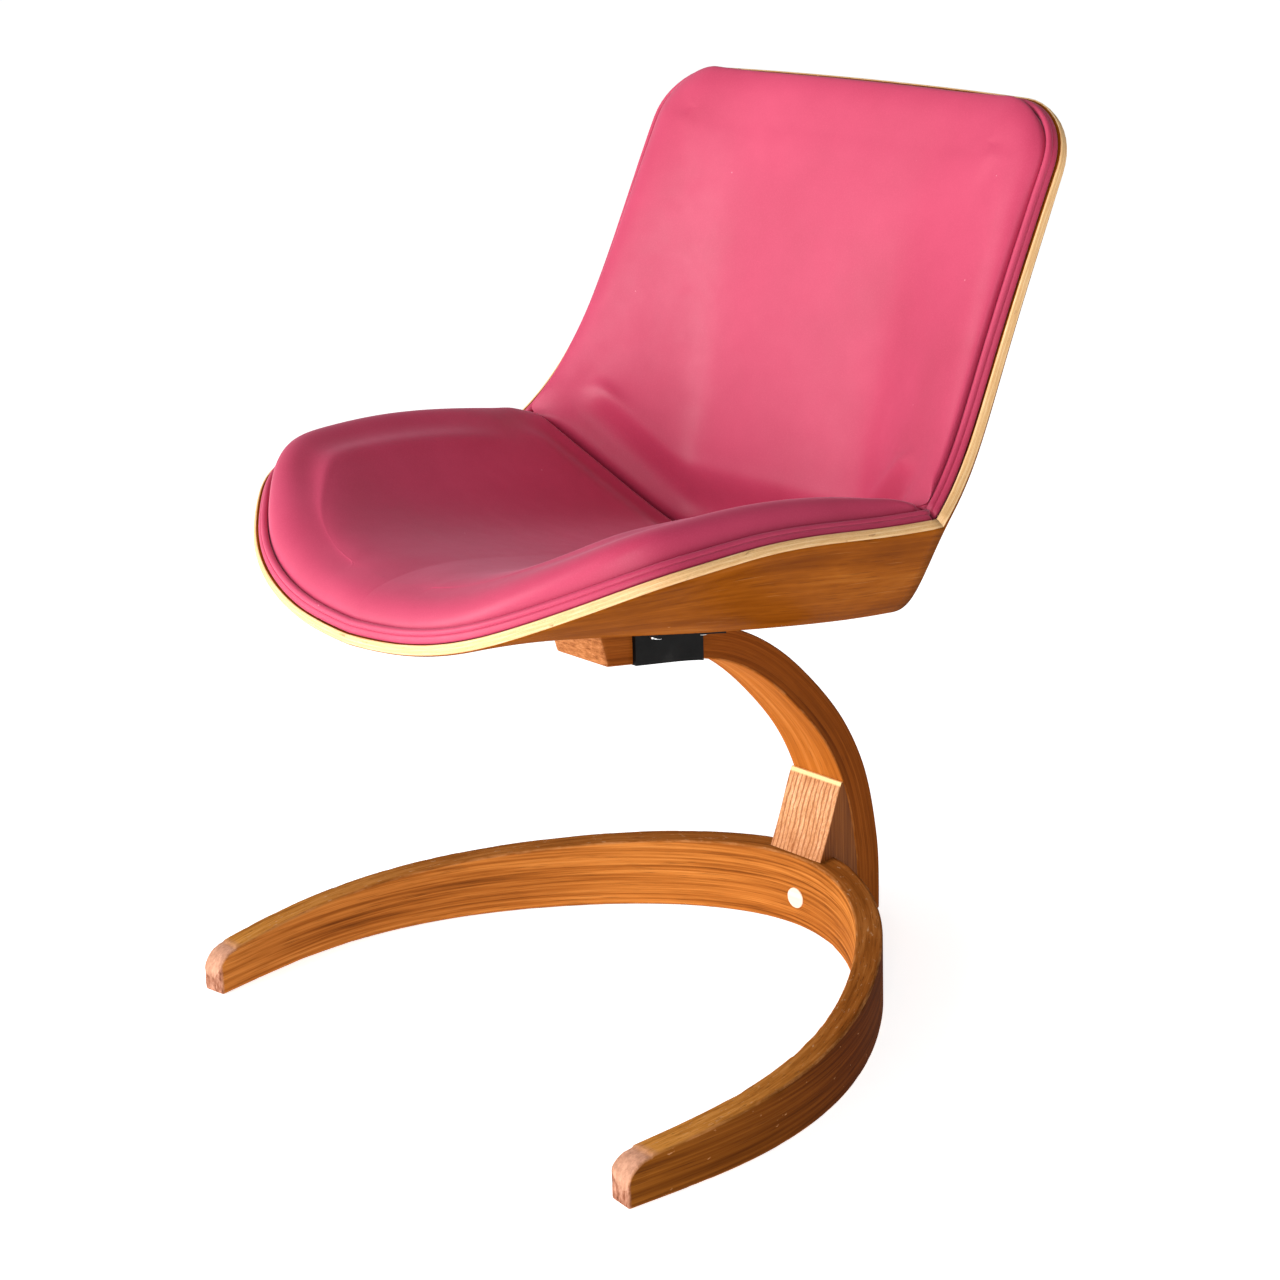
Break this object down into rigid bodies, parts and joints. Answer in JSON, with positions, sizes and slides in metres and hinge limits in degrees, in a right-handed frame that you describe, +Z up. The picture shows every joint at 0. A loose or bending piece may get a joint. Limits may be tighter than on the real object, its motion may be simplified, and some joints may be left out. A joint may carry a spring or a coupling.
{
  "type": "cantilever chair",
  "caption": "Cantilever side chair: bent laminated wood hoop base and curved upright carrying a moulded plywood seat and back with piped, padded pink vinyl panels.",
  "frame": {"origin": "bottom centre of the whole chair's box, on the floor", "axes": "+Z up, the sitter looks along -Y, +X is the sitter's left"},
  "size_m": [0.5972, 0.6151, 0.7755],
  "materials": {
    "hoop_wood": "oiled bent oak laminate, worn edges",
    "bow_wood": "oiled bent laminate",
    "knee_wood": "oiled oak, upright grain",
    "dowel_wood": "plain beech",
    "zinc_steel": "zinc plated",
    "bright_steel": "bright zinc heads",
    "plug": "pale wood plug",
    "black_steel": "matte black paint",
    "shell_ply": "walnut veneered plywood with a pale edge",
    "board_ply": "raw thin plywood",
    "foam": "upholstery foam",
    "vinyl": "raspberry vinyl, satin, fine grain",
    "piping": "raspberry vinyl piping",
    "clip_plastic": "moulded nylon"
  },
  "bodies": {
    "root": {"base_hoop": "hoop_wood", "upright_bow": "bow_wood", "knee_block": "knee_wood", "knee_dowels": "dowel_wood", "base_bolt": "zinc_steel", "base_bolt_plug": "plug", "base_washers": "zinc_steel", "base_nut": "zinc_steel", "seat_bracket": "black_steel", "flange_bolts": "bright_steel", "bow_bolts": "zinc_steel", "seat_tee_nuts": "zinc_steel", "seat_shell": "shell_ply", "back_shell": "shell_ply", "mitre_pins": "zinc_steel", "seat_pad_board": "board_ply", "seat_pad_foam": "foam", "seat_pad_cover": "vinyl", "seat_pad_piping": "piping", "seat_pad_clips": "clip_plastic", "back_pad_board": "board_ply", "back_pad_foam": "foam", "back_pad_cover": "vinyl", "back_pad_piping": "piping", "back_pad_clips": "clip_plastic"}
  },
  "joints": []
}
